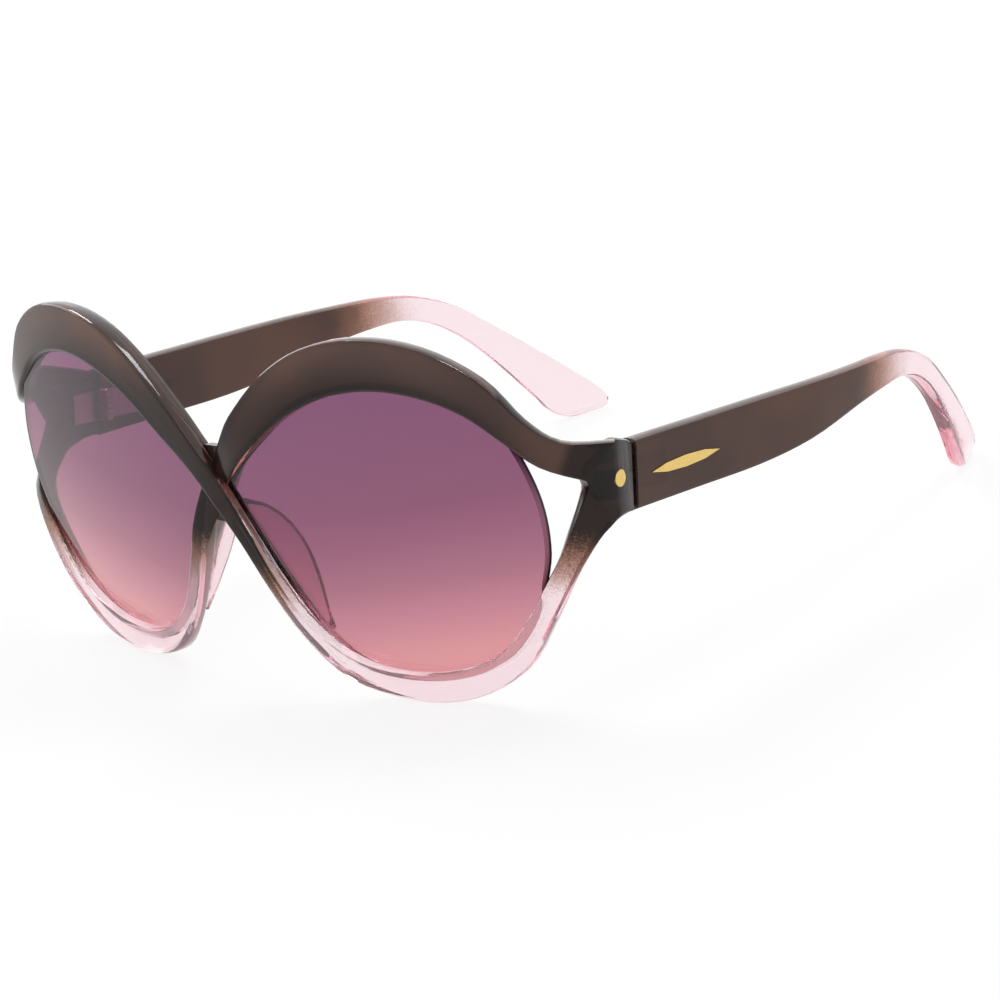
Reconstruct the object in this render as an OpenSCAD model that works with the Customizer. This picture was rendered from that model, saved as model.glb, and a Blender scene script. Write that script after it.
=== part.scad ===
// Oversized sunglasses with two crossing bands: one moulded front, tinted lenses and folding temples.
// Everything is drawn in the worn attitude (+X wearer's left, +Y backwards, +Z up) and then set down
// on a level surface, resting on the lower rims and the temple tips.

/* [Front] */
// Half width of the front, from the middle to the outer corner
front_half_w = 76; // [70:0.5:80]
// Height of the front, from the lowest rim to the top of the brow
front_h = 66; // [60:0.5:72]
// Depth of the moulded bands, from front face to back face
band_d = 4.8; // [4.5:0.1:5.6]
// Rounding of the band's front edges
band_edge_r = 0.85; // [0.4:0.05:1]
// Rounding of the band's back edges
band_back_r = 1.8; // [1:0.1:2]
// Wrap radius of the front, seen from above
wrap_r = 170; // [150:5:260]
// Width of the outer part of the front that turns back to the temple
turn_in = 13.5; // [12:0.5:16]
// Radius of that turn
turn_r = 15; // [13:0.5:20]
// Radius of the front's profile, seen from the side
dish_r = 386; // [300:10:600]
// Lean of the front, top edge forwards
front_lean = 12.5; // [8:0.5:14]
// Flare of each half of the front away from the nose
half_flare = 2.4; // [1:0.1:4]
// How far the second band passes behind the first at the crossing
cross_step = 1.7; // [1.2:0.1:2]
// Reach of that step to each side of the crossing
cross_reach = 8; // [7:0.5:10]

/* [Lenses] */
// Radius of the lens surface
lens_r = 223; // [180:1:260]
// Thickness of the lens
lens_t = 1.6; // [1.2:0.1:1.9]
// Set-back of the lens behind the front face
lens_back = 1.3; // [1.2:0.05:1.6]
// How far each lens is turned forwards of the band's own sweep
lens_toe = 1.5; // [0.8:0.1:1.7]
// Clearance of the lens in its groove
lens_gap = 0.06; // [0.04:0.01:0.1]

/* [Temples] */
// Distance of the seam behind the front's middle
seam_y = 34; // [32:0.5:37]
// Distance from the front's outer corner in to the temple's outer face at the seam
temple_in = 6.5; // [6:0.25:7]
// Length of the temple from the seam to the tip
temple_l = 125; // [115:1:135]
// Thickness of the temple at the hinge
temple_t = 3.8; // [3.4:0.1:4.4]
// Thickness of the temple at the tip
tip_t = 3.3; // [2.8:0.1:3.8]
// Straight run before the temple starts to curl in behind the ear
curl_start = 44; // [36:1:50]
// Radius of that curl
curl_r = 145; // [130:5:260]
// Rounding of the temple's long edges
temple_edge_r = 1.1; // [0.6:0.1:1.3]
// Length of the rounded end of the tip
tip_round = 4.6; // [3:0.2:6]
// Open gap at the seam between the end piece and the temple
seam_gap = 0.12; // [0.08:0.01:0.2]
// Bevel round the two faces that meet at the seam
seam_bevel = 0.5; // [0.3:0.05:0.8]

/* [Hinges] */
// Height of the knuckle stack
hinge_h = 5.6; // [5:0.1:6.4]
// Outer radius of the knuckles
knuckle_r = 1.4; // [1.3:0.05:1.5]
// Radius of the hinge screw's shank
screw_r = 0.6; // [0.5:0.05:0.7]
// Radial clearance of the screw in the temple's knuckles
turn_gap = 0.05; // [0.03:0.01:0.08]
// Radial clearance of the screw in the front's knuckles
hold_gap = 0.02; // [0.01:0.005:0.03]
// Gap between neighbouring knuckles
knuckle_gap = 0.08; // [0.05:0.01:0.12]
// Thickness of a hinge leaf
leaf_t = 1.3; // [1.1:0.05:1.5]
// Depth that a leaf is sunk into the plastic
leaf_sink = 0.7; // [0.5:0.05:0.9]
// Length of the leaf on the front
front_leaf_l = 6.8; // [6:0.1:7.5]
// Length of the leaf on the temple
temple_leaf_l = 10; // [8:0.5:12]
// Radius of a leaf's anchor pins
anchor_r = 0.6; // [0.4:0.05:0.7]
// Length of a leaf's anchor pins
anchor_l = 1.5; // [1:0.1:1.8]
// Radius of the screw's head
head_r = 1.15; // [1:0.05:1.3]
// Height of the screw's head
head_h = 0.55; // [0.4:0.05:0.7]

/* [Nose pads] */
// Reach of the nose pad behind the band
pad_reach = 6.2; // [5:0.1:7.5]
// Flare of the nose pad away from the nose
pad_flare = 2; // [1.6:0.1:2.6]
// Thickness of the nose pad
pad_t = 2.2; // [1.8:0.1:2.6]
// Bond line between the pad and the band
bond_gap = 0.06; // [0.04:0.01:0.1]

/* [Ornaments] */
// Length of the inlay on the temple
inlay_l = 18; // [14:0.5:22]
// Width of the inlay at its middle
inlay_w = 2.1; // [1.6:0.1:3]
// Thickness of the inlay
inlay_t = 0.7; // [0.5:0.05:0.9]
// Height of the inlay and the stud above the surface
ornament_rise = 0.25; // [0.1:0.05:0.4]
// Radius of the round stud on the end piece
stud_r = 1.5; // [1.2:0.1:1.8]
// Depth of the stud's seat
stud_sink = 0.9; // [0.6:0.1:1.2]
// Clearance round every sunk metal part
seat_gap = 0.05; // [0.03:0.01:0.08]

/* [Hidden] */
$fn = 48;

// Overrun of every cut past the face that it opens
over = 1;
// Sections drawn between two rows of a band or temple table
row_steps = 4;
// Corner of a section in three points, and the largest corner as a share of the section
corner_turns = [0, 45, 90];
corner_share = 0.45;

smoke = [0.29, 0.25, 0.24];
blush = [0.95, 0.86, 0.89];
plum = [0.54, 0.36, 0.47];
gold = [0.86, 0.68, 0.33];
steel = [0.70, 0.70, 0.72];

// Height of the temple at the seam, and of its lower edge there
root_h = 12.5;
root_low_share = 0.509;
root_low_z = root_low_share * front_h;
root_top_share = root_low_share + root_h / front_h;
// Places across where the front turns back, and of the temple's outer face
turn_x = front_half_w - turn_in;
temple_x = front_half_w - temple_in;
temple_x_share = temple_x / front_half_w;
// Height of the front's flattest place, where the dish and the lean pivot
dish_z = 0.482 * front_h;
// First full section of the temple behind its bevel
temple_y = seam_y + seam_gap + seam_bevel;
// Rounded end of the temple tip: turns of its sections, its corner and the share of thickness lost
tip_turns = [30, 55, 75, 87];
tip_corner = 3.4;
tip_edge_share = 0.38;

// Inner faces of the end piece and the temple, and the block that carries the leaf
inner_x = temple_x - temple_t;
boss_h = 9.6;
boss_l = 8.6;
boss_w = 1.8;
boss_r = 1.6;
// Hinge axis
hinge_out = 1.5;
hinge_x = inner_x - hinge_out;
hinge_y = seam_y + seam_gap / 2;
hinge_z = root_low_z + 0.49 * root_h;
hinge_low = hinge_z - hinge_h / 2;
layers = 5;
layer_h = hinge_h / layers;
// Places of a leaf's two anchor pins as shares of its length
anchor_shares = [0.3, 0.75];
slot_w = 0.3;

// Lens centre as shares, and the centre of the lens surface
lens_mid_x = 0.474 * front_half_w;
lens_mid_z = 0.44 * front_h;
lens_way = unit([tan(lens_toe) - tan(half_flare) - lens_mid_x / wrap_r, 1,
    tan(front_lean) - (lens_mid_z - dish_z) / dish_r]);
lens_centre = [lens_mid_x, front_y(lens_mid_x, lens_mid_z), lens_mid_z] + lens_r * lens_way;

// Webs in the two notches of the crossing
web_x = 1.5;
web_r = 0.9;
web_t = 2;

// Share of the pad's reach left at its two ends, and how early the pad swells
pad_end_share = 0.16;
pad_lead = 0.7;
// Turn of the pads towards the nose
pad_turn = 6;
pad_edge_r = 0.7;

// Outline of the inlay as shares of its length and width, and its place on the temple
inlay_shares = [[-0.5, 0], [-0.28, 0.38], [0, 0.5], [0.28, 0.38],
    [0.5, 0], [0.28, -0.38], [0, -0.5], [-0.28, -0.38]];
inlay_place_share = 0.1;
inlay_level_share = 0.53;
inlay_tilt = 3.4;

// One band, from the right end piece over the right brow, across the middle, under the left lens
// and up to the left end piece. Each row holds the upper or inner edge and the lower or outer edge
// as shares of half width, of height, and of the way back to the seam, then the turn of the wall.
band_shares = [
    [-0.995, 0.733, 0, -0.945, 0.630, 0, 45],
    [-0.914, 0.739, 0, -0.868, 0.671, 0, 38],
    [-0.849, 0.797, 0, -0.797, 0.738, 0, 24],
    [-0.767, 0.906, 0, -0.717, 0.806, 0, 20],
    [-0.638, 0.982, 0, -0.618, 0.848, 0, 18],
    [-0.487, 1.003, 0, -0.503, 0.861, 0, 15],
    [-0.339, 0.967, 0, -0.382, 0.836, 0, 12],
    [-0.211, 0.882, 0, -0.263, 0.773, 0, 8],
    [-0.103, 0.767, 0, -0.158, 0.682, 0, 6],
    [-0.026, 0.667, 0, -0.068, 0.595, 0, 0],
    [0.039, 0.567, 0, -0.003, 0.505, 0, 0],
    [0.099, 0.436, 0, 0.056, 0.402, 0, -6],
    [0.153, 0.304, 0, 0.110, 0.281, 0, -15],
    [0.218, 0.182, 0, 0.181, 0.146, 0, -18],
    [0.316, 0.098, 0, 0.284, 0.037, 0, -10],
    [0.447, 0.073, 0, 0.446, -0.010, 0, 8],
    [0.584, 0.092, 0, 0.610, 0.014, -0.03, 17],
    [0.703, 0.159, 0, 0.752, 0.108, -0.06, 20],
    [0.787, 0.270, 0, 0.851, 0.259, -0.08, 24],
    [0.863, 0.400, 0, 0.918, 0.401, -0.05, 38],
    [0.888, 0.485, 0.14, 0.926, 0.464, 0.30, 55],
    [0.901, 0.591, 0.38, 0.927, 0.486, 0.50, 66],
    [0.918, 0.639, 0.28, 0.923, 0.497, 0.64, 66],
    [0.961, 0.723, 0.36, 0.920, 0.504, 0.76, 72],
    [0.942, 0.715, 0.75, 0.917, 0.508, 0.89, 83],
    [temple_x_share, root_top_share, 1, temple_x_share, root_low_share, 1, 90]];

// Outline of a lens seen from the front, as shares of half width and height: up the nose side,
// under the brow, down the free outer edge and round the lower rim
lens_shares = [
    [0.030, 0.556], [0.068, 0.628], [0.158, 0.716], [0.276, 0.806], [0.408, 0.870],
    [0.507, 0.885], [0.605, 0.877], [0.697, 0.842], [0.766, 0.785],
    [0.810, 0.720], [0.842, 0.621], [0.853, 0.530], [0.846, 0.432], [0.822, 0.345],
    [0.803, 0.262], [0.716, 0.146], [0.591, 0.074], [0.447, 0.053], [0.308, 0.080],
    [0.200, 0.167], [0.131, 0.290], [0.078, 0.425]];

// One temple from the seam to the tip: the upper and the lower edge, each as a share of the
// temple's length and of its height at the seam
temple_shares = [
    [0, 1, 0, 0],
    [0.128, 1.056, 0.128, 0.076],
    [0.264, 1.120, 0.264, 0.160],
    [0.384, 1.170, 0.376, 0.320],
    [0.504, 1.210, 0.496, 0.610],
    [0.592, 1.230, 0.576, 0.750],
    [0.664, 1.160, 0.632, 0.800],
    [0.736, 0.904, 0.688, 0.688],
    [0.808, 0.440, 0.748, 0.348],
    [0.880, -0.060, 0.804, -0.152],
    [0.946, -0.550, 0.857, -0.700],
    [0.968, -0.736, 0.876, -0.928]];

// First and last band section that carries the nose pad
pad_first = 10 * row_steps + 1;
pad_last = 13 * row_steps;

// Front face of the front at a place across and up
function front_y(x, z) =
    tan(half_flare) * abs(x) + x * x / (2 * wrap_r)
    + pow(max(0, abs(x) - turn_x), 2) / (2 * turn_r)
    + pow(z - dish_z, 2) / (2 * dish_r) - tan(front_lean) * (z - dish_z);

// Weight of the crossing step, one in the middle and fading to nothing at its reach
function step_weight(x) = pow(max(0, 1 - x * x / (cross_reach * cross_reach)), 2);

// Smooth curve through the rows of a table
function curve_row(a, b, c, d, t) =
    (2 * b + (c - a) * t + (2 * a - 5 * b + 4 * c - d) * t * t + (3 * b - a - 3 * c + d) * t * t * t) / 2;
function smooth_rows(rows) =
    let (last = len(rows) - 1)
    concat([for (i = [0:last - 1]) for (k = [0:row_steps - 1])
        curve_row(rows[max(i - 1, 0)], rows[i], rows[i + 1], rows[min(i + 2, last)], k / row_steps)],
        [rows[last]]);

// The same round a closed outline
function smooth_loop(rows) =
    let (n = len(rows))
    [for (i = [0:n - 1]) for (k = [0:row_steps - 1])
        curve_row(rows[(i + n - 1) % n], rows[i], rows[(i + 1) % n], rows[(i + 2) % n], k / row_steps)];

function unit(v) = v / norm(v);

// Rounded section between two edge points, with its depth along a back direction
function rounded_ring(u, v, back, d, r, back_r) =
    let (w = norm(v - u), e = unit(v - u), most = corner_share * min(w, d),
         q = min(r, most), b = min(back_r, most))
    let (places = concat(
        [for (t = corner_turns) [q - q * cos(t), q - q * sin(t)]],
        [for (t = corner_turns) [w - q + q * sin(t), q - q * cos(t)]],
        [for (t = corner_turns) [w - b + b * cos(t), d - b + b * sin(t)]],
        [for (t = corner_turns) [b - b * sin(t), d - b + b * cos(t)]]))
    [for (p = places) u + e * p[0] + back * p[1]];

// The same section drawn in by a margin all round and moved along
function drawn_in_ring(u, v, back, d, r, back_r, m, shift) =
    let (e = unit(v - u))
    rounded_ring(u + e * m + back * m + shift, v - e * m + back * m + shift, back, d - 2 * m, r, back_r);

// A band's edge points, back direction and depth
function edge_point(x, z, way_back, step) =
    [x, front_y(x, z) * (1 - way_back) + (seam_y - seam_bevel) * way_back + step * step_weight(x), z];
function band_frame(row, step) =
    let (u = edge_point(row[0] * front_half_w, row[1] * front_h, row[2], step),
        v = edge_point(row[3] * front_half_w, row[4] * front_h, row[5], step),
        side = sign(u[0]))
    [u, v, [-side * sin(row[6]), cos(row[6]), 0], band_d + (temple_t - band_d) * row[6] / 90];
function band_frames(step) = [for (row = smooth_rows(band_shares)) band_frame(row, step)];
function band_rings(step) =
    let (frames = band_frames(step), f = frames[len(frames) - 1])
    concat([for (g = frames) rounded_ring(g[0], g[1], g[2], g[3], band_edge_r, band_back_r)],
        [drawn_in_ring(f[0], f[1], f[2], f[3], band_edge_r, band_back_r, seam_bevel, [0, seam_bevel, 0])]);

// Solid through a row of rings
module skin(rings) {
    n = len(rings[0]);
    last = len(rings) - 1;
    polyhedron(
        points = [for (ring = rings) for (p = ring) p],
        faces = concat(
            [for (i = [0:last - 1]) for (j = [0:n - 1]) [i * n + (j + 1) % n, i * n + j, (i + 1) * n + j]],
            [for (i = [0:last - 1]) for (j = [0:n - 1])
                [(i + 1) * n + (j + 1) % n, i * n + (j + 1) % n, (i + 1) * n + j]],
            [[for (j = [0:n - 1]) j]],
            [[for (j = [n - 1:-1:0]) last * n + j]]));
}

// The temple's outer face across at a place along, and its slope there
function temple_face_x(y) =
    temple_x - pow(max(0, y - seam_y - curl_start), 2) / (2 * curl_r);
function temple_slope(y) = -max(0, y - seam_y - curl_start) / curl_r;
function temple_frame(row) =
    let (yu = temple_y + row[0] * temple_l, yv = temple_y + row[2] * temple_l)
    [[temple_face_x(yu), yu, root_low_z + row[1] * root_h],
     [temple_face_x(yv), yv, root_low_z + row[3] * root_h],
     unit([-1, temple_slope((yu + yv) / 2), 0]),
     temple_t + (tip_t - temple_t) * row[0]];

// One section of the temple's rounded end
function tip_ring(f, way, a) =
    let (e = unit(f[1] - f[0]), m = tip_corner * (1 - cos(a)), n = tip_edge_share * f[3] * (1 - cos(a)))
    let (shift = way * tip_round * sin(a) + f[2] * n)
    rounded_ring(f[0] + e * m + shift, f[1] - e * m + shift, f[2], f[3] - 2 * n,
        temple_edge_r, temple_edge_r);

temple_frames = [for (row = smooth_rows(temple_shares)) temple_frame(row)];
temple_root = temple_frames[0];
temple_end = temple_frames[len(temple_frames) - 1];
temple_way = unit(temple_end[0] + temple_end[1]
    - temple_frames[len(temple_frames) - 2][0] - temple_frames[len(temple_frames) - 2][1]);
temple_rings = concat(
    [drawn_in_ring(temple_root[0], temple_root[1], temple_root[2], temple_root[3],
        temple_edge_r, temple_edge_r, seam_bevel, [0, -seam_bevel, 0])],
    [for (f = temple_frames) rounded_ring(f[0], f[1], f[2], f[3], temple_edge_r, temple_edge_r)],
    [for (a = tip_turns) tip_ring(temple_end, temple_way, a)]);

// One section of a nose pad behind a section of its band
function pad_ring(f, t) =
    let (e = unit(f[1] - f[0]), w = norm(f[1] - f[0]), pw = min(pad_t, w),
         swell = sin(180 * pow(t, pad_lead)), grow = pad_end_share + (1 - pad_end_share) * swell,
         root = f[0] + e * (w - pw) / 2 + f[2] * (f[3] + bond_gap),
         way = [-sin(pad_turn), cos(pad_turn), 0] * pad_reach * grow - e * pad_flare * swell)
    rounded_ring(root, root + e * pw, unit(way), norm(way), pad_edge_r, pad_edge_r);
function pad_rings(step) =
    let (frames = band_frames(step))
    [for (i = [pad_first:pad_last]) pad_ring(frames[i], (i - pad_first) / (pad_last - pad_first))];

// Attitude in which the finished pair rests on its lower rims and its temple tips
function drop(p, a) = p[2] * cos(a) - p[1] * sin(a);
function lowest(points, a) =
    let (drops = [for (p = points) drop(p, a)])
    points[search(min(drops), drops)[0]];
rim_points = [for (ring = band_rings(0)) for (p = ring) p];
tip_points = [for (ring = temple_rings) for (p = ring) p];
function rest_turn(a, rounds) =
    let (rim = lowest(rim_points, a), tip = lowest(tip_points, a))
    rounds == 0 ? a : rest_turn(atan2(tip[2] - rim[2], tip[1] - rim[1]), rounds - 1);
rest_a = rest_turn(8, 3);
rest_ys = [for (p = concat(rim_points, tip_points)) p[1] * cos(rest_a) + p[2] * sin(rest_a)];
rest_mid_y = (min(rest_ys) + max(rest_ys)) / 2;
rest_low_z = drop(lowest(rim_points, rest_a), rest_a);

module placed() {
    translate([0, -rest_mid_y, -rest_low_z])
        rotate([-rest_a, 0, 0])
            children();
}

// The right side is the mirror image of the left
module right_side() {
    mirror([1, 0, 0]) children();
}

module band(step) {
    skin(band_rings(step));
}

// Block inside an end piece that carries the hinge leaf, with a sloping nose
module hinge_boss() {
    low = hinge_z - boss_h / 2;
    back_y = seam_y - seam_bevel - boss_r;
    front_y0 = seam_y - boss_l + boss_r;
    hull() {
        for (p = [[inner_x + boss_r, back_y], [inner_x + boss_r, front_y0], [inner_x + boss_w, front_y0]]) {
            translate([p[0], p[1], low]) cylinder(r = boss_r, h = boss_h, $fn = 24);
        }
    }
    hull() {
        for (end = [-1, 1]) {
            translate([inner_x + boss_r, front_y0, hinge_z + end * (boss_h / 2 - boss_r)])
                sphere(r = boss_r, $fn = 24);
            translate([inner_x + boss_r, front_y0 - boss_w, hinge_z + end * (boss_h / 2 - boss_r)])
                sphere(r = boss_r, $fn = 24);
        }
    }
}

// Small web that fills the notch where the two bands meet above or below the crossing
module crossing_web(z, rise) {
    hull() {
        for (p = [[-web_x, z + rise], [web_x, z + rise], [0, z]]) {
            translate([p[0], front_y(p[0], p[1]) + (band_d + cross_step) / 2, p[1]])
                rotate([90, 0, 0]) cylinder(r = web_r, h = web_t, center = true, $fn = 24);
        }
    }
}

// Lens blank with a clearance all round
module lens_blank(gap) {
    intersection() {
        translate(lens_centre) difference() {
            sphere(r = lens_r - lens_back + gap, $fn = 300);
            sphere(r = lens_r - lens_back - lens_t - gap, $fn = 300);
        }
        translate([0, seam_y, 0]) rotate([90, 0, 0])
            linear_extrude(height = 2 * seam_y)
                offset(delta = gap)
                    polygon([for (p = smooth_loop(lens_shares)) [p[0] * front_half_w, p[1] * front_h]]);
    }
}

// Seat of a leaf in the plastic, running forwards or backwards from the seam
module leaf_seat(way, length) {
    start = way > 0 ? seam_y - over : seam_y - length - seat_gap;
    translate([inner_x - over, start, hinge_low - seat_gap])
        cube([leaf_sink + over, length + over + seat_gap, hinge_h + 2 * seat_gap]);
    for (share = anchor_shares) {
        translate([inner_x + leaf_sink - over, seam_y + way * share * length, hinge_z])
            rotate([0, 90, 0]) cylinder(r = anchor_r + seat_gap, h = anchor_l + seat_gap + over);
    }
}

// One hinge leaf with its knuckles, running forwards or backwards from the seam
module hinge_leaf(way, length, mine, others, bore_r) {
    edge = seam_y + (way > 0 ? seam_gap : 0);
    difference() {
        union() {
            translate([inner_x + leaf_sink - leaf_t, way > 0 ? edge : seam_y - length, hinge_low])
                cube([leaf_t, length - (way > 0 ? seam_gap : 0), hinge_h]);
            for (share = anchor_shares) {
                translate([inner_x + leaf_sink - leaf_t / 2, seam_y + way * share * length, hinge_z])
                    rotate([0, 90, 0]) cylinder(r = anchor_r, h = anchor_l + leaf_t / 2);
            }
            for (i = mine) {
                translate([0, 0, hinge_low + i * layer_h + knuckle_gap / 2]) {
                    translate([hinge_x, hinge_y, 0]) cylinder(r = knuckle_r, h = layer_h - knuckle_gap);
                    translate([hinge_x, way > 0 ? edge : hinge_y - knuckle_r, 0])
                        cube([inner_x + leaf_sink - hinge_x, knuckle_r - seam_gap / 2,
                            layer_h - knuckle_gap]);
                }
            }
        }
        for (i = others) {
            translate([hinge_x, hinge_y, hinge_low + i * layer_h - knuckle_gap / 2])
                cylinder(r = knuckle_r + knuckle_gap, h = layer_h + knuckle_gap);
        }
        translate([hinge_x, hinge_y, hinge_low - over]) cylinder(r = bore_r, h = hinge_h + 2 * over);
    }
}

module front_leaf() {
    hinge_leaf(-1, front_leaf_l, [0, 2, 4], [1, 3], screw_r + hold_gap);
}

module temple_leaf() {
    hinge_leaf(1, temple_leaf_l, [1, 3], [0, 2, 4], screw_r + turn_gap);
}

module screw() {
    top = hinge_low + hinge_h - knuckle_gap / 2;
    translate([hinge_x, hinge_y, 0]) difference() {
        union() {
            translate([0, 0, hinge_low]) cylinder(r = screw_r, h = top - hinge_low);
            translate([0, 0, top]) cylinder(r = head_r, h = head_h / 2);
            translate([0, 0, top + head_h / 2])
                cylinder(r1 = head_r, r2 = head_r - head_h / 2, h = head_h / 2);
        }
        translate([-head_r - over, -slot_w / 2, top + head_h / 2])
            cube([2 * (head_r + over), slot_w, head_h]);
    }
}

// Place and outward turn of the stud on the end piece's side face
stud_row = (len(band_shares) - 3) * row_steps + 1;
side_frames = band_frames(0);
stud_mid = (side_frames[stud_row][0] + side_frames[stud_row][1]) / 2;
stud_along = side_frames[stud_row + 2][0] + side_frames[stud_row + 2][1]
    - side_frames[stud_row - 2][0] - side_frames[stud_row - 2][1];
stud_turn = atan2(-stud_along[0], stud_along[1]);

module on_side_face() {
    translate(stud_mid) rotate([0, 0, stud_turn]) rotate([0, 90, 0]) children();
}

module stud_seat() {
    on_side_face() translate([0, 0, -stud_sink])
        cylinder(r = stud_r + seat_gap, h = stud_sink + 2 * over, $fn = 32);
}

module stud() {
    on_side_face() translate([0, 0, -stud_sink]) {
        cylinder(r = stud_r, h = stud_sink + ornament_rise / 2);
        translate([0, 0, stud_sink + ornament_rise / 2])
            cylinder(r1 = stud_r, r2 = stud_r - ornament_rise, h = ornament_rise / 2);
    }
}

module inlay_outline(gap) {
    offset(delta = gap)
        polygon([for (p = inlay_shares) [p[0] * inlay_l, p[1] * inlay_w]]);
}

// Place of the inlay: local X along the temple, local Z outwards
module on_temple_face() {
    translate([temple_x, temple_y + inlay_place_share * temple_l, root_low_z + inlay_level_share * root_h])
        rotate([inlay_tilt, 0, 0]) rotate([90, 0, 90]) children();
}

module temple() {
    difference() {
        skin(temple_rings);
        leaf_seat(1, temple_leaf_l);
        on_temple_face() translate([0, 0, ornament_rise - inlay_t])
            linear_extrude(height = inlay_t + over) inlay_outline(seat_gap);
    }
}

module inlay() {
    on_temple_face() translate([0, 0, ornament_rise - inlay_t])
        linear_extrude(height = inlay_t) inlay_outline(0);
}

module nose_pad(step) {
    skin(pad_rings(step));
}

module front_frame() {
    color(smoke) placed() difference() {
        union() {
            band(0);
            right_side() band(cross_step);
            hinge_boss();
            right_side() hinge_boss();
            crossing_web(0.632 * front_h, web_x);
            crossing_web(0.49 * front_h, -web_x);
        }
        lens_blank(lens_gap);
        right_side() lens_blank(lens_gap);
        leaf_seat(-1, front_leaf_l);
        right_side() leaf_seat(-1, front_leaf_l);
        stud_seat();
        right_side() stud_seat();
    }
}

module left_lens() {
    color(plum) placed() lens_blank(0);
}

module right_lens() {
    color(plum) placed() right_side() lens_blank(0);
}

module left_nose_pad() {
    color(blush) placed() nose_pad(0);
}

module right_nose_pad() {
    color(blush) placed() right_side() nose_pad(cross_step);
}

module left_front_hinge() {
    color(steel) placed() front_leaf();
}

module right_front_hinge() {
    color(steel) placed() right_side() front_leaf();
}

module left_hinge_screw() {
    color(steel) placed() screw();
}

module right_hinge_screw() {
    color(steel) placed() right_side() screw();
}

module left_stud() {
    color(gold) placed() stud();
}

module right_stud() {
    color(gold) placed() right_side() stud();
}

module left_temple() {
    color(smoke) placed() temple();
}

module right_temple() {
    color(smoke) placed() right_side() temple();
}

module left_temple_hinge() {
    color(steel) placed() temple_leaf();
}

module right_temple_hinge() {
    color(steel) placed() right_side() temple_leaf();
}

module left_inlay() {
    color(gold) placed() inlay();
}

module right_inlay() {
    color(gold) placed() right_side() inlay();
}

front_frame();
left_lens();
right_lens();
left_nose_pad();
right_nose_pad();
left_front_hinge();
right_front_hinge();
left_hinge_screw();
right_hinge_screw();
left_stud();
right_stud();
left_temple();
right_temple();
left_temple_hinge();
right_temple_hinge();
left_inlay();
right_inlay();
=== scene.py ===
import math

import bpy
from mathutils import Matrix, Vector


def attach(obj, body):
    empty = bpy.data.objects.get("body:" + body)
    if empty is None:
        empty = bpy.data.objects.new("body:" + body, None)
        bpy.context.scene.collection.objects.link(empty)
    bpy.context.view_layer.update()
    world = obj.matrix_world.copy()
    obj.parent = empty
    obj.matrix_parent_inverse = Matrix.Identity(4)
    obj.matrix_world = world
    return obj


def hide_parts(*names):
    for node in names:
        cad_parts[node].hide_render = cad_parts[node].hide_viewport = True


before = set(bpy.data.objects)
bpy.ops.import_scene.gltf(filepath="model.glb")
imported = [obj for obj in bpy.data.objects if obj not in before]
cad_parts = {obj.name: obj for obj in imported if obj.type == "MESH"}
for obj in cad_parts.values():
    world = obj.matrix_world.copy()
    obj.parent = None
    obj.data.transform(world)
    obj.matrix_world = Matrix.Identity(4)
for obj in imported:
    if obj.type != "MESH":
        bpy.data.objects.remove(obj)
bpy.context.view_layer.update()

# The glasses stand on the front's lowest point and the two temple tips. The turn and the shift
# bring a point back to where it is on the wearer. There the front's middle is at y = 0, its
# lowest point is at z = 0, and the temples start at the seam.
STAND_TURN = math.radians(8.63015)
WORN_TURN = Matrix.Rotation(STAND_TURN, 3, "X")
WORN_SHIFT = WORN_TURN @ Vector((0, 0.0810504, -0.00322757))
SEAM_Y = 0.0341

# The middle of the left lens and half its size, on the wearer. The right lens is its mirror.
LENS_MIDDLE_X, LENS_MIDDLE_Z = 0.036, 0.029
LENS_HALF_WIDTH, LENS_HALF_HEIGHT = 0.0285, 0.027

# The sphere on which the left lens's outer face lies, as the glasses stand.
LENS_CENTRE = (-0.012283, 0.146294, 0.047223)
LENS_FACE_RADIUS = 0.2217

# The smoke spray starts at these places and covers all within these lengths: upwards on the front,
# and forwards on the temples. On the front its line leans a little and dips beside the nose.
SPRAY_START_Z, SPRAY_RISE = 0.0165, 0.0120
SPRAY_START_Y, SPRAY_RUN = 0.119, 0.024
SPRAY_LEAN = 0.05
SPRAY_DIP_X, SPRAY_DIP_WIDTH, SPRAY_DIP_DEPTH = 0.010, 0.009, 0.006

# The outer sides of the end pieces, on the wearer.
END_SIDE_X = 0.064
END_SIDE_Y = (0.016, 0.032)
END_SIDE_Z = (0.032, 0.046)

# The deepest smoke tone also serves as painted shade by the lenses, on the walls and on the right
# brow.
SMOKE_DEEP_AND_SHADE = (0.008, 0.005, 0.005, 1)
SMOKE_GREY = (0.098, 0.059, 0.051, 1)
SMOKE_WARM = (0.165, 0.084, 0.060, 1)
SMOKE_THIN = (0.330, 0.150, 0.085, 1)
ROSE_CLEAR = (0.99, 0.94, 0.96, 1)
# The deeper pink is painted shade on the outer walls of the clear plastic.
ROSE_WALL_SHADE = (0.97, 0.52, 0.60, 1)
ROSE_AMBER = (0.66, 0.36, 0.26, 1)
ROSE_GLOW = (0.99, 0.50, 0.60, 1)
COPPER = (0.50, 0.26, 0.17, 1)
# The two dark edge colours below are painted shade on the lens's ground edge.
LENS_EDGE_SHADE = (0.035, 0.012, 0.022, 1)
LENS_GROOVE_SHADE = (0.13, 0.014, 0.028, 1)
GOLD = (0.86, 0.62, 0.22, 1)
STEEL = (0.50, 0.47, 0.45, 1)
METAL_SHADE = (0.82, 0.80, 0.78, 1)
PAPER = (0.9, 0.9, 0.9, 1)
WHITE = (1, 1, 1, 1)

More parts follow.
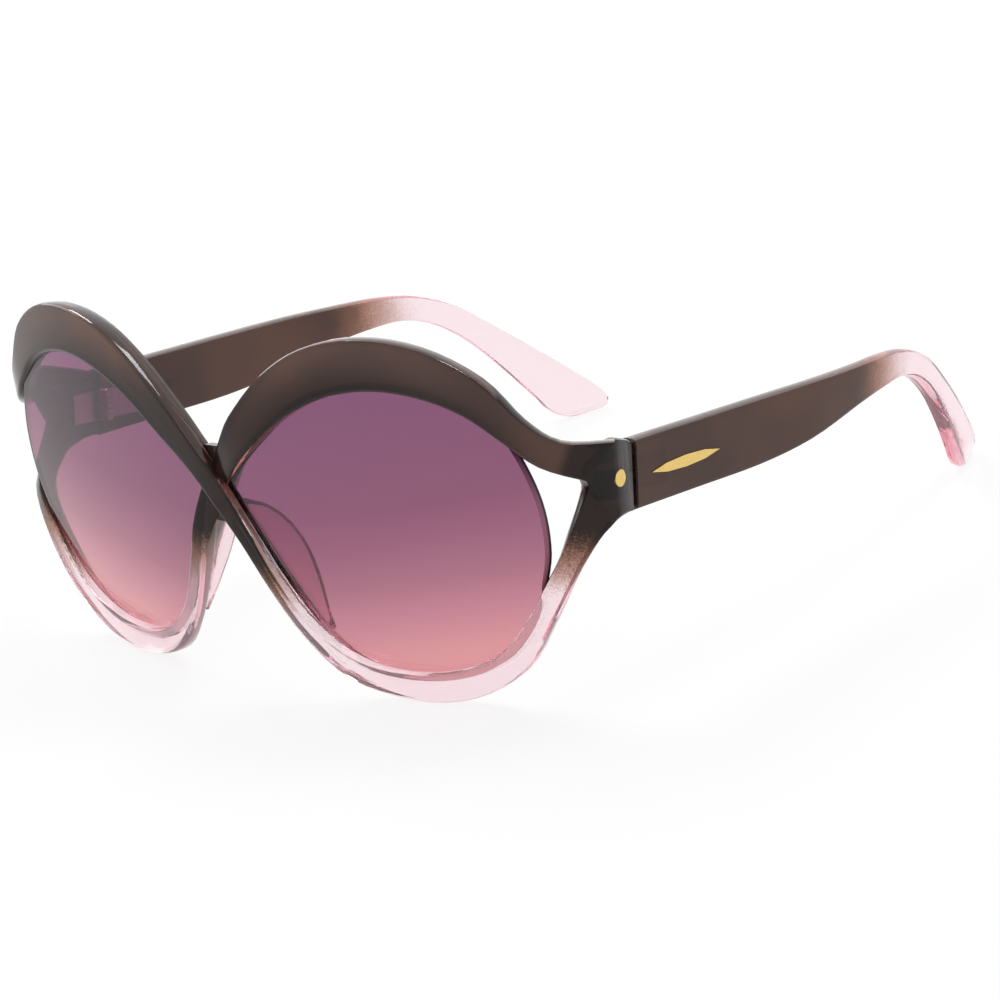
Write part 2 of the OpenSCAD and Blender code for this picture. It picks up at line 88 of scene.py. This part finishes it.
# The lens dye from its coral foot to its plum top.
LENS_DYE = (
    (0.02, (0.76, 0.32, 0.34, 1)),
    (0.12, (0.70, 0.29, 0.315, 1)),
    (0.26, (0.53, 0.207, 0.275, 1)),
    (0.36, (0.40, 0.150, 0.216, 1)),
    (0.50, (0.31, 0.105, 0.18, 1)),
    (0.62, (0.25, 0.080, 0.155, 1)),
    (0.95, (0.215, 0.070, 0.155, 1)),
)

PLASTIC_IOR = 1.49
LENS_IOR = 1.45

# Angles in degrees past which an edge stays sharp on a smooth-shaded piece.
MOULDING_SHARP = 40
PAD_SHARP = 50

CAMERA_PLACE = (0.624406, -0.627807, 0.296301)
CAMERA_RIGHT = (0.7309136, 0.6664826, -0.1468544)
CAMERA_UP = (-0.10526, 0.3226968, 0.9406312)
CAMERA_BACK = (0.6743038, -0.6720623, 0.3060174)
FOCAL_LENGTH = 177.9316

# The softboxes: name, place, aim, width, height and power.
SOFTBOXES = (
    ("overhead softbox", (0.15, 0.5, 1.15), (0, 0, 0.03), 0.5, 0.4, 5),
    ("back softbox", (-0.85, 0.2, 1.05), (0, 0, 0.03), 0.7, 0.5, 9),
    ("low side softbox", (-1.3, -0.35, 0.32), (0, 0, 0.04), 0.5, 0.6, 4),
)


# nodes


def new_finish(name):
    """A material with an empty tree, and the output that its shaders join."""
    finish = bpy.data.materials.new(name)
    finish.use_nodes = True
    tree = finish.node_tree
    tree.nodes.clear()
    return finish, tree, add(tree, "OutputMaterial")


def add(tree, kind, **settings):
    node = tree.nodes.new("ShaderNode" + kind)
    for key, value in settings.items():
        setattr(node, key, value)
    return node


def join(tree, start, end):
    tree.links.new(start, end)


def fill(node, values):
    """Plain values on a node's own sockets."""
    for label, value in values.items():
        node.inputs[label].default_value = value


def maths(tree, kind, first, second=0):
    """One Math node. Each side is a socket or a plain number."""
    node = add(tree, "Math", operation=kind)
    for socket, value in zip(node.inputs, (first, second)):
        if isinstance(value, (int, float)):
            socket.default_value = value
        else:
            join(tree, value, socket)
    return node.outputs[0]


def plus(tree, first, second):
    return maths(tree, "ADD", first, second)


def minus(tree, first, second):
    return maths(tree, "SUBTRACT", first, second)


def times(tree, first, second):
    return maths(tree, "MULTIPLY", first, second)


def over(tree, first, second):
    return maths(tree, "DIVIDE", first, second)


def size_of(tree, value):
    """The value without its sign."""
    return maths(tree, "ABSOLUTE", value)


def length_of(tree, *sides):
    """The length of the line that has these sides."""
    total = times(tree, sides[0], sides[0])
    for side in sides[1:]:
        total = plus(tree, total, times(tree, side, side))
    return maths(tree, "SQRT", total)


def spread(tree, value, start, end, kind="LINEAR"):
    """0 before start, 1 after end, with an even rise between them."""
    node = add(tree, "MapRange", interpolation_type=kind)
    join(tree, value, node.inputs["Value"])
    fill(node, {"From Min": start, "From Max": end})
    return node.outputs["Result"]


def ease(tree, value, start, end):
    """0 before start, 1 after end, with a soft rise between them."""
    return spread(tree, value, start, end, "SMOOTHSTEP")


def noise(tree, place, scale, detail):
    node = add(tree, "TexNoise")
    fill(node, {"Scale": scale, "Detail": detail})
    join(tree, place, node.inputs["Vector"])
    return node.outputs[0]


def parts_of(tree, vector):
    """The X, Y and Z of a vector."""
    split = add(tree, "SeparateXYZ")
    join(tree, vector, split.inputs[0])
    return split.outputs


def blend_of(tree, share, first, second, kind="MIX"):
    """One colour over another. Each colour is a socket or a plain value."""
    node = add(tree, "Mix", data_type="RGBA", blend_type=kind)
    join(tree, share, node.inputs["Factor"])
    for label, colour in (("A", first), ("B", second)):
        if isinstance(colour, tuple):
            node.inputs[label].default_value = colour
        else:
            join(tree, colour, node.inputs[label])
    return node.outputs["Result"]


def join_mix(tree, share, first, second, out):
    """One shader over another, as the surface."""
    mix = add(tree, "MixShader")
    join(tree, share, mix.inputs["Fac"])
    join(tree, first.outputs[0], mix.inputs[1])
    join(tree, second.outputs[0], mix.inputs[2])
    join(tree, mix.outputs[0], out.inputs["Surface"])


# the moulded skin, which all finishes share


def new_effect(name, inputs, outputs):
    """A node group with named sockets, each given as its name and kind."""
    group = bpy.data.node_groups.new(name, "ShaderNodeTree")
    for way, sockets in (("INPUT", inputs), ("OUTPUT", outputs)):
        for label, kind in sockets:
            group.interface.new_socket(label, in_out=way, socket_type="NodeSocket" + kind)
    given = group.nodes.new("NodeGroupInput").outputs
    made = group.nodes.new("NodeGroupOutput").inputs
    return group, given, made


def make_moulded_skin():
    """A polished moulding: slow waves from cooling, fine handling marks and a few dust specks."""
    group, given, made = new_effect(
        "moulded skin",
        (("Place", "Vector"), ("Gloss", "Float"), ("Marks", "Float"), ("Wave", "Float")),
        (("Roughness", "Float"), ("Height", "Float")),
    )
    place = given["Place"]
    wave = noise(group, place, scale=75, detail=1)
    smear = noise(group, place, scale=420, detail=5)
    speck = add(group, "TexVoronoi")
    fill(speck, {"Scale": 900})
    join(group, place, speck.inputs["Vector"])
    marks = spread(group, smear, start=0.42, end=0.75)
    rough = plus(group, given["Gloss"], times(group, marks, given["Marks"]))
    join(group, rough, made["Roughness"])
    pit = spread(group, speck.outputs["Distance"], start=0.05, end=0.12)
    height = plus(group, times(group, wave, given["Wave"]), times(group, pit, 0.03))
    join(group, height, made["Height"])
    return group


moulded_skin = make_moulded_skin()


def add_skin(tree, shader, place, gloss, marks, wave, depth):
    """The skin as a shader's roughness and as relief of this depth in metres."""
    skin = add(tree, "Group", node_tree=moulded_skin)
    fill(skin, {"Gloss": gloss, "Marks": marks, "Wave": wave})
    join(tree, place, skin.inputs["Place"])
    bump = add(tree, "Bump")
    fill(bump, {"Strength": 1, "Distance": depth})
    join(tree, skin.outputs["Height"], bump.inputs["Height"])
    join(tree, skin.outputs["Roughness"], shader.inputs["Roughness"])
    join(tree, bump.outputs["Normal"], shader.inputs["Normal"])


# places on the glasses


def worn_place(tree):
    """Object coordinates turned back to the place on the wearer."""
    where = add(tree, "TexCoord")
    turn = add(tree, "Mapping")
    fill(turn, {"Location": WORN_SHIFT, "Rotation": (STAND_TURN, 0, 0)})
    join(tree, where.outputs["Object"], turn.inputs["Vector"])
    return turn.outputs["Vector"]


def facing_of(tree):
    """The way the surface faces, as its X, Y and Z."""
    return parts_of(tree, add(tree, "TexCoord").outputs["Normal"])


def front_or_arm(tree, part, on_front, on_arm):
    """One value for the front and one for the temples."""
    is_arm = maths(tree, "GREATER_THAN", part["Y"], SEAM_Y)
    is_front = minus(tree, 1, is_arm)
    return plus(tree, times(tree, is_front, on_front), times(tree, is_arm, on_arm))


def inner_wall(tree, part):
    """1 on the walls of the bands that look at the middle of their lens."""
    facing = facing_of(tree)
    middle = times(tree, maths(tree, "SIGN", part["X"]), LENS_MIDDLE_X)
    across = minus(tree, middle, part["X"])
    up = minus(tree, LENS_MIDDLE_Z, part["Z"])
    turned = plus(tree, times(tree, facing["X"], across), times(tree, facing["Z"], up))
    return ease(tree, over(tree, turned, length_of(tree, across, up)), start=0.35, end=0.8)


def flat_face(tree, part):
    """Near 1 on the broad faces of the front, end pieces and temples, near 0 on their walls."""
    facing = facing_of(tree)
    aside = size_of(tree, facing["X"])
    end_piece = ease(tree, size_of(tree, part["X"]), start=0.058, end=0.064)
    ahead = length_of(tree, facing["Y"], times(tree, aside, end_piece))
    return front_or_arm(tree, part, ahead, aside)


def depth_in_lens(tree):
    """How far a point lies behind the outer face of its lens."""
    spot = parts_of(tree, add(tree, "TexCoord").outputs["Object"])
    across = minus(tree, size_of(tree, spot["X"]), LENS_CENTRE[0])
    back = minus(tree, spot["Y"], LENS_CENTRE[1])
    up = minus(tree, spot["Z"], LENS_CENTRE[2])
    return minus(tree, LENS_FACE_RADIUS, length_of(tree, across, back, up))


# the smoke spray


def spray_level(tree, place, part):
    """How deep a point lies in the smoke spray: 0 where it starts, 1 where it covers all."""
    height = minus(tree, part["Z"], times(tree, part["X"], SPRAY_LEAN))
    off = over(tree, minus(tree, part["X"], SPRAY_DIP_X), SPRAY_DIP_WIDTH)
    dip = maths(tree, "EXPONENT", times(tree, times(tree, off, off), -1))
    height = plus(tree, height, times(tree, dip, SPRAY_DIP_DEPTH))
    on_front = over(tree, minus(tree, height, SPRAY_START_Z), SPRAY_RISE)
    # Next to the nose the spray misses the walls that look at the lens. Further out it fills them.
    outside = ease(tree, size_of(tree, part["X"]), start=0.040, end=0.050)
    shift = minus(tree, times(tree, outside, 1.9), 1.3)
    on_front = plus(tree, on_front, times(tree, inner_wall(tree, part), shift))
    on_arm = over(tree, minus(tree, SPRAY_START_Y, part["Y"]), SPRAY_RUN)
    level = front_or_arm(tree, part, on_front, on_arm)
    cloud = minus(tree, noise(tree, place, scale=170, detail=3), 0.5)
    return plus(tree, level, times(tree, cloud, 0.25))


def smoke_tone_and_painted_light(tree, place, part, flat):
    """The smoke's tone, with painted shade next to the lenses and on the walls and painted light
    on the brow. It is also deepest on the end pieces.
    """
    side = size_of(tree, part["X"])
    across = over(tree, minus(tree, side, LENS_MIDDLE_X), LENS_HALF_WIDTH)
    up = over(tree, minus(tree, part["Z"], LENS_MIDDLE_Z), LENS_HALF_HEIGHT)
    # Painted light and shade: the brow is painted lighter away from its lens, and darker next to
    # the lens and towards the bridge.
    brow = ease(tree, length_of(tree, across, up), start=0.98, end=1.36)
    brow = times(tree, brow, ease(tree, side, start=0.0, end=0.022))
    # It deepens slowly towards the outside, and at once where the end piece turns back.
    slow = times(tree, ease(tree, side, start=0.046, end=0.060), 0.35)
    leaning = minus(tree, side, times(tree, part["Z"], 0.35))
    sudden = times(tree, ease(tree, leaning, start=0.0525, end=0.0545), 0.65)
    brow = times(tree, brow, minus(tree, 1, plus(tree, slow, sudden)))
    # Painted shade: the right brow is a little deeper than the left one.
    leftwards = ease(tree, part["X"], start=-0.034, end=0.004)
    brow = times(tree, brow, over(tree, plus(tree, leftwards, 3.6), 4.6))
    # Painted shade: the walls and rounded edges take the deep smoke, for the dark lines along the
    # edges.
    on_face = ease(tree, flat, start=0.76, end=0.90)
    tone = times(tree, front_or_arm(tree, part, brow, 0.60), on_face)
    patch = times(tree, minus(tree, noise(tree, place, scale=45, detail=2), 0.5), 0.35)
    return plus(tree, tone, times(tree, patch, tone))


def spray_cover(tree, place, part, level, wall):
    """How much the smoke hides: less in its dots, on the walls and seen from within."""
    dots = minus(tree, noise(tree, place, scale=2600, detail=1), 0.5)
    edge = plus(tree, level, times(tree, dots, front_or_arm(tree, part, 0.9, 0.35)))
    within = times(tree, add(tree, "NewGeometry").outputs["Backfacing"], 0.65)
    thin = maths(tree, "MAXIMUM", within, times(tree, wall, 0.4))
    return times(tree, ease(tree, edge, start=0.05, end=1.0), minus(tree, 0.96, thin))


# finishes


def dye_through(tree, out, density):
    """Clear plastic that is dyed through is pinker where it is thicker."""
    depth = add(tree, "VolumeAbsorption")
    fill(depth, {"Color": ROSE_GLOW, "Density": density})
    join(tree, depth.outputs[0], out.inputs["Volume"])


def make_graded_plastic():
    """Smoke brown sprayed over clear rose plastic. The spray ends in fine dots."""
    finish, tree, out = new_finish("smoke over rose plastic")
    place = worn_place(tree)
    part = parts_of(tree, place)
    level = spray_level(tree, place, part)
    flat = flat_face(tree, part)
    wall = minus(tree, 1, ease(tree, flat, start=0.30, end=0.46))

    smoke = add(tree, "BsdfPrincipled")
    fill(smoke, {"IOR": PLASTIC_IOR, "Specular IOR Level": 0.18, "Coat Roughness": 0.03})
    warmth = ease(tree, noise(tree, place, scale=28, detail=2), start=0.40, end=0.62)
    light = blend_of(tree, warmth, SMOKE_GREY, SMOKE_WARM)
    # Painted light and shade: the brown runs from the deep smoke by the lenses and on the walls to
    # the lighter smoke on the brow.
    brown = blend_of(tree, smoke_tone_and_painted_light(tree, place, part, flat), SMOKE_DEEP_AND_SHADE, light)
    brown = blend_of(tree, ease(tree, level, start=0.25, end=1.05), SMOKE_THIN, brown)
    join(tree, brown, smoke.inputs["Base Color"])
    join(tree, plus(tree, times(tree, wall, 0.70), 0.06), smoke.inputs["Coat Weight"])
    add_skin(tree, smoke, place, gloss=0.10, marks=0.08, wave=1.0, depth=0.00005)

    rose = add(tree, "BsdfPrincipled")
    fill(rose, {"IOR": PLASTIC_IOR, "Transmission Weight": 0.91})
    inner = front_or_arm(tree, part, inner_wall(tree, part), 0.0)
    # Painted shade: the outer walls of the clear rose plastic are painted a deeper pink, for the
    # deep pink its edges show.
    shaded_outer_wall = times(tree, wall, minus(tree, 1, inner))
    tint = blend_of(tree, shaded_outer_wall, ROSE_CLEAR, ROSE_WALL_SHADE)
    tint = blend_of(tree, ease(tree, level, start=0.05, end=0.75), tint, ROSE_AMBER)
    tint = blend_of(tree, ease(tree, level, start=0.6, end=1.1), tint, COPPER)
    join(tree, tint, rose.inputs["Base Color"])
    add_skin(tree, rose, place, gloss=0.0, marks=0.03, wave=1.0, depth=0.00005)

    join_mix(tree, spray_cover(tree, place, part, level, wall), rose, smoke, out)
    dye_through(tree, out, density=68)
    return finish


def make_rose_pad():
    """The nose pads are of the clear rose plastic, a little duller than the front."""
    finish, tree, out = new_finish("rose pad plastic")
    plastic = add(tree, "BsdfPrincipled")
    fill(plastic, {"Base Color": ROSE_CLEAR, "IOR": PLASTIC_IOR, "Transmission Weight": 0.9})
    add_skin(tree, plastic, worn_place(tree), gloss=0.10, marks=0.08, wave=1.0, depth=0.00006)
    join(tree, plastic.outputs[0], out.inputs["Surface"])
    dye_through(tree, out, density=150)
    return finish


def lens_dye_of(tree, part):
    """The dye's colour by height. Its lines rise a little towards the outside."""
    outward = minus(tree, size_of(tree, part["X"]), LENS_MIDDLE_X)
    height = minus(tree, part["Z"], times(tree, outward, 0.2))
    dye = add(tree, "ValToRGB")
    stops = dye.color_ramp.elements
    foot, *between, top = LENS_DYE
    for stop, (place, colour) in zip(stops, (foot, top)):
        stop.position = place
        stop.color = colour
    for place, colour in between:
        stops.new(place).color = colour
    join(tree, spread(tree, height, start=0.002, end=0.056), dye.inputs["Fac"])
    return dye.outputs["Color"]


def make_lens_tint():
    """The lens is clear, dyed plum to coral, and its ground edge is matt, with painted shade along
    it.
    """
    finish, tree, out = new_finish("plum to coral lens")
    place = worn_place(tree)
    part = parts_of(tree, place)
    dye = lens_dye_of(tree, part)

    clear = add(tree, "BsdfPrincipled")
    fill(clear, {"IOR": LENS_IOR, "Transmission Weight": 1})
    join(tree, dye, clear.inputs["Base Color"])
    add_skin(tree, clear, place, gloss=0.0, marks=0.015, wave=0.2, depth=0.000005)

    ground = add(tree, "BsdfPrincipled")
    # Painted shade: the back of the ground edge is painted dark.
    behind = ease(tree, depth_in_lens(tree), start=0.0008, end=0.0013)
    shade = blend_of(tree, behind, dye, LENS_EDGE_SHADE)
    # Painted shade: low down, where the lens sits in the groove of the rim, the edge is painted
    # dark red.
    shade = blend_of(tree, ease(tree, part["Z"], start=0.012, end=0.024), LENS_GROOVE_SHADE, shade)
    join(tree, shade, ground.inputs["Base Color"])
    add_skin(tree, ground, place, gloss=0.45, marks=0.2, wave=0.5, depth=0.00003)

    on_face = ease(tree, size_of(tree, facing_of(tree)["Y"]), start=0.55, end=0.65)
    join_mix(tree, on_face, ground, clear, out)
    return finish


def make_metal(name, colour, gloss, marks):
    """A polished metal with a fine grain."""
    finish, tree, out = new_finish(name)
    place = worn_place(tree)
    grain = noise(tree, place, scale=2200, detail=2)
    metal = add(tree, "BsdfPrincipled")
    fill(metal, {"Metallic": 1})
    tone = blend_of(tree, grain, colour, METAL_SHADE, "MULTIPLY")
    join(tree, tone, metal.inputs["Base Color"])
    add_skin(tree, metal, place, gloss, marks, wave=0.4, depth=0.00003)
    join(tree, metal.outputs[0], out.inputs["Surface"])
    return finish


graded_plastic = make_graded_plastic()
rose_pad = make_rose_pad()
lens_tint = make_lens_tint()
gold_finish = make_metal("polished gold", GOLD, gloss=0.16, marks=0.12)
steel_finish = make_metal("hinge steel", STEEL, gloss=0.28, marks=0.2)


# pieces


def finish_node(node, finish):
    """A CAD piece whose shape is right keeps its mesh and takes the finish."""
    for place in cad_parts[node].material_slots:
        place.material = finish


def on_end_side(spot):
    """Whether a place on the wearer is on the outer side of an end piece."""
    return (
        END_SIDE_X < abs(spot.x)
        and END_SIDE_Y[0] < spot.y < END_SIDE_Y[1]
        and END_SIDE_Z[0] < spot.z < END_SIDE_Z[1]
    )


def blend_end_sides(piece):
    """The bands run into one smooth face there, so its long edges aren't sharp."""
    bpy.ops.object.mode_set(mode="EDIT")
    bpy.ops.mesh.select_mode(type="EDGE")
    bpy.ops.mesh.select_all(action="DESELECT")
    bpy.ops.object.mode_set(mode="OBJECT")
    points = piece.data.vertices
    for edge in piece.data.edges:
        start, end = (WORN_TURN @ points[i].co + WORN_SHIFT for i in edge.vertices)
        edge.select = on_end_side((start + end) / 2) and (end - start).length > 0.001
    bpy.ops.object.mode_set(mode="EDIT")
    bpy.ops.mesh.mark_sharp(clear=True)
    bpy.ops.object.mode_set(mode="OBJECT")


def polished_copy(node, name, body, finish, sharp=MOULDING_SHARP):
    """The moulding is smooth all over, so a welded, smooth-shaded copy stands for the node."""
    piece = bpy.data.objects.new(name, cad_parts[node].data.copy())
    bpy.context.scene.collection.objects.link(piece)
    bpy.ops.object.select_all(action="DESELECT")
    piece.select_set(True)
    bpy.context.view_layer.objects.active = piece
    piece.data.materials.clear()
    piece.data.materials.append(finish)
    bpy.ops.mesh.customdata_custom_splitnormals_clear()
    bpy.ops.object.mode_set(mode="EDIT")
    bpy.ops.mesh.select_all(action="SELECT")
    bpy.ops.mesh.remove_doubles(threshold=0.000001)
    bpy.ops.object.mode_set(mode="OBJECT")
    bpy.ops.object.shade_smooth_by_angle(angle=math.radians(sharp))
    if node == "front_frame":
        blend_end_sides(piece)
    bpy.ops.object.modifier_add(type="WEIGHTED_NORMAL")
    weighting = piece.modifiers[-1]
    weighting.keep_sharp = True
    weighting.weight = 50
    bpy.ops.object.modifier_apply(modifier=weighting.name)
    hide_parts(node)
    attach(piece, body)


polished_copy("front_frame", "moulded_front", "front", graded_plastic)
for side in ("left", "right"):
    temple, lens, pad = side + "_temple", side + "_lens", side + "_nose_pad"
    polished_copy(temple, "moulded_temple_" + side, side + "_arm", graded_plastic)
    polished_copy(lens, "dyed_lens_" + side, "front", lens_tint)
    polished_copy(pad, "moulded_pad_" + side, "front", rose_pad, PAD_SHARP)
    finish_node(side + "_front_hinge", steel_finish)
    finish_node(side + "_temple_hinge", steel_finish)
    finish_node(side + "_hinge_screw", steel_finish)
    finish_node(side + "_stud", gold_finish)
    finish_node(side + "_inlay", gold_finish)


# floor, light and camera


def seen_by_eye(tree):
    """1 for rays that show the floor or the studio in the picture, in gloss or through plastic."""
    path = add(tree, "LightPath").outputs
    seen = maths(tree, "MAXIMUM", path["Is Camera Ray"], path["Is Glossy Ray"])
    return maths(tree, "MAXIMUM", seen, path["Is Transmission Ray"])


def lay_floor():
    """A wide white floor, just under the points on which the glasses stand."""
    bpy.ops.object.select_all(action="DESELECT")
    bpy.ops.mesh.primitive_plane_add(size=12, location=(0, 0, -0.0002))
    floor = bpy.context.active_object
    floor.name = "pale_floor"
    finish, tree, out = new_finish("pale floor")
    paper = add(tree, "BsdfDiffuse")
    fill(paper, {"Color": PAPER})
    glow = add(tree, "Emission")
    fill(glow, {"Color": WHITE})
    join_mix(tree, times(tree, seen_by_eye(tree), 0.86), paper, glow, out)
    floor.data.materials.append(finish)


def light_studio():
    """Soft even light, from a studio that looks white."""
    world = bpy.data.worlds.new("soft studio")
    bpy.context.scene.world = world
    world.use_nodes = True
    tree = world.node_tree
    tree.nodes.clear()
    soft = add(tree, "Background")
    fill(soft, {"Color": WHITE, "Strength": 0.55})
    bright = add(tree, "Background")
    fill(bright, {"Color": WHITE, "Strength": 1})
    join_mix(tree, seen_by_eye(tree), soft, bright, add(tree, "OutputWorld"))


def hang_softbox(name, place, aim, width, height, power):
    lamp = bpy.data.lights.new(name, "AREA")
    lamp.shape = "RECTANGLE"
    lamp.size = width
    lamp.size_y = height
    lamp.energy = power
    holder = bpy.data.objects.new(name, lamp)
    bpy.context.scene.collection.objects.link(holder)
    holder.location = place
    holder.rotation_euler = (Vector(aim) - Vector(place)).to_track_quat("-Z", "Y").to_euler()


def set_camera():
    """The camera stands where the photo was taken from."""
    view = bpy.data.cameras.new("camera")
    view.sensor_width = 36
    view.lens = FOCAL_LENGTH
    view.clip_start = 0.01
    view.clip_end = 50
    camera = bpy.data.objects.new("camera", view)
    bpy.context.scene.collection.objects.link(camera)
    turn = Matrix((CAMERA_RIGHT, CAMERA_UP, CAMERA_BACK)).transposed().to_4x4()
    camera.matrix_world = Matrix.Translation(CAMERA_PLACE) @ turn
    bpy.context.scene.camera = camera


lay_floor()
light_studio()
for softbox in SOFTBOXES:
    hang_softbox(*softbox)
set_camera()

scene = bpy.context.scene
scene.view_settings.view_transform = "Standard"
